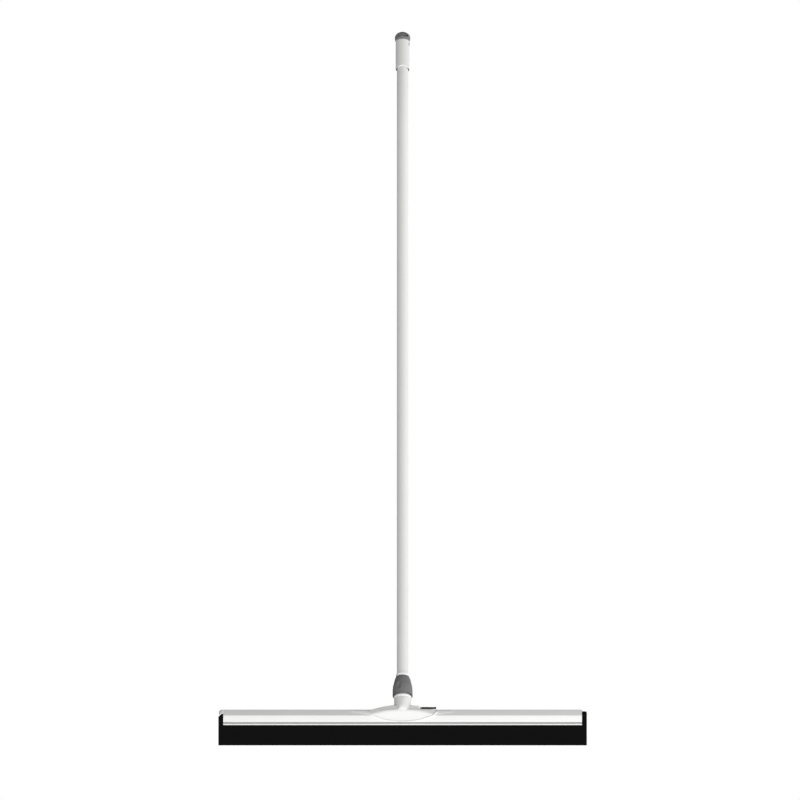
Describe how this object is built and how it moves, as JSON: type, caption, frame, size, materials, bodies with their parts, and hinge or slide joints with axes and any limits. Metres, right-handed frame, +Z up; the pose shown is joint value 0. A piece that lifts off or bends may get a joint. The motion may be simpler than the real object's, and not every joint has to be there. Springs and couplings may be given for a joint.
{
  "type": "floor squeegee",
  "caption": "Floor squeegee with a double moss rubber blade in a white sheet channel, a lens-shaped saddle with a leaning neck, a twist-lock nut and a long tube handle.",
  "frame": {"origin": "on the floor under the middle of the blades", "axes": "+X along the blade to the right, -Y towards the front, +Z up"},
  "size_m": [0.75, 0.6783, 1.4618],
  "materials": {
    "coated_sheet": "white powder-coated steel sheet",
    "moss_rubber": "black cellular rubber, cut skin",
    "black_plastic": "black extruded plastic",
    "white_plastic": "white injection-moulded plastic",
    "nut_plastic": "mid-grey moulded plastic, fine texture",
    "cap_plastic": "dark grey moulded plastic, fine texture",
    "coated_tube": "white powder-coated aluminium tube",
    "plain_steel": "zinc-plated steel"
  },
  "bodies": {
    "head": {"frame_channel": "coated_sheet", "saddle": "white_plastic", "saddle_screws": "plain_steel", "lever_pin": "plain_steel"},
    "cassette": {"cassette_carrier": "black_plastic", "front_blade": "moss_rubber", "rear_blade": "moss_rubber"},
    "lever": {"cam_lever": "cap_plastic"},
    "clamp": {"collet": "white_plastic"},
    "nut": {"lock_nut": "nut_plastic"},
    "handle": {"handle_tube": "coated_tube", "tube_plug": "cap_plastic", "grip_sleeve": "white_plastic", "end_cap": "cap_plastic"}
  },
  "joints": [
    {"name": "cassette_slide", "type": "slide", "parent": "head", "child": "cassette", "axis": [1, 0, 0], "range_m": [0, 0.745]},
    {"name": "lever_turn", "type": "hinge", "parent": "head", "child": "lever", "pos_m": [0.0375, 0, 0.0759], "axis": [0, -1, 0], "range_deg": [0, 90]},
    {"name": "collet_lift", "type": "slide", "parent": "head", "child": "clamp", "axis": [0, 0.4226, 0.9063], "range_m": [0, 0.0041]},
    {"name": "nut_turn", "type": "hinge", "parent": "clamp", "child": "nut", "pos_m": [0, 0.02124, 0.11535], "axis": [0, 0.4226, 0.9063], "range_deg": [0, 360]},
    {"name": "handle_slide", "type": "slide", "parent": "head", "child": "handle", "axis": [0, 0.4226, 0.9063], "range_m": [0, 0.075]}
  ],
  "couplings": [
    {"joint": "collet_lift", "follows": "nut_turn", "m_per_rad": 0.00063662}
  ]
}
